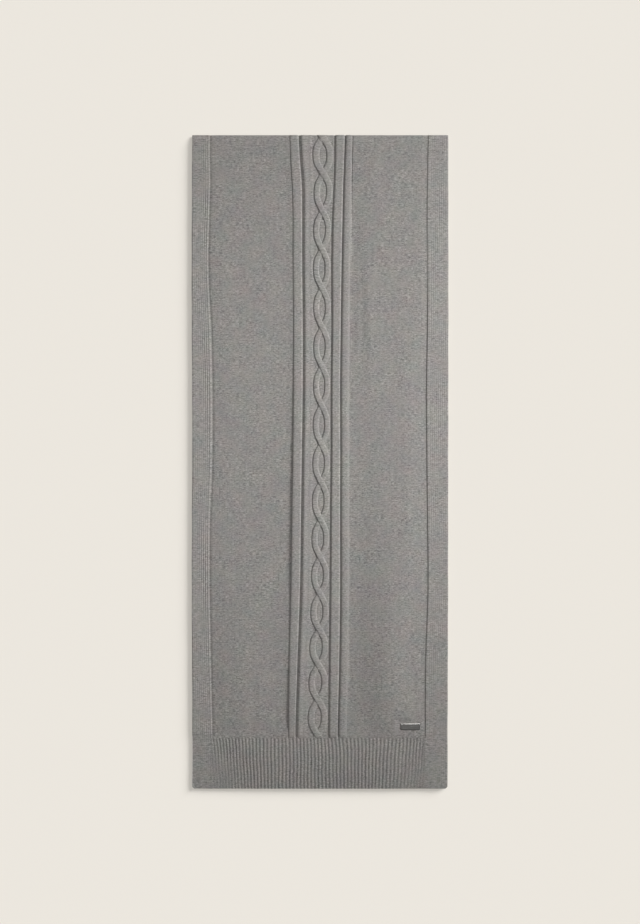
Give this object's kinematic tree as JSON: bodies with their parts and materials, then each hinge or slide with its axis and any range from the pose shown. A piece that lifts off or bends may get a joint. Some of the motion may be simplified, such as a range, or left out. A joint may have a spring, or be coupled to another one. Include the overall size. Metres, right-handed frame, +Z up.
{
  "type": "knit scarf",
  "caption": "Knit scarf folded once and laid flat, with a raised cable panel down the middle, ribbed side bands, a rib hem and a small bare metal plate.",
  "frame": {"origin": "centre of the folded scarf's outline, on the surface that it lies on", "axes": "+Y along the scarf towards its fold, the rib hem at -Y; +X across it to the wearer's right as seen from above with the fold at the top; +Z up, out of the upper layer's face"},
  "size_m": [0.35, 0.894, 0.0067],
  "materials": {
    "band_knit": "matte marled grey wool, fine rib",
    "field_knit": "matte marled grey wool, plain knit",
    "panel_knit": "matte marled grey wool, raised cords and cable",
    "rib_knit": "matte marled grey wool, 2 x 2 rib",
    "under_knit": "matte marled grey wool, pressed flat",
    "plate_metal": "dark gunmetal plating, brushed"
  },
  "bodies": {
    "root": {"left_band": "band_knit", "right_band": "band_knit", "left_field": "field_knit", "right_field": "field_knit", "cable_panel": "panel_knit", "end_rib": "rib_knit", "under_half": "under_knit", "metal_plate": "plate_metal"}
  },
  "joints": []
}
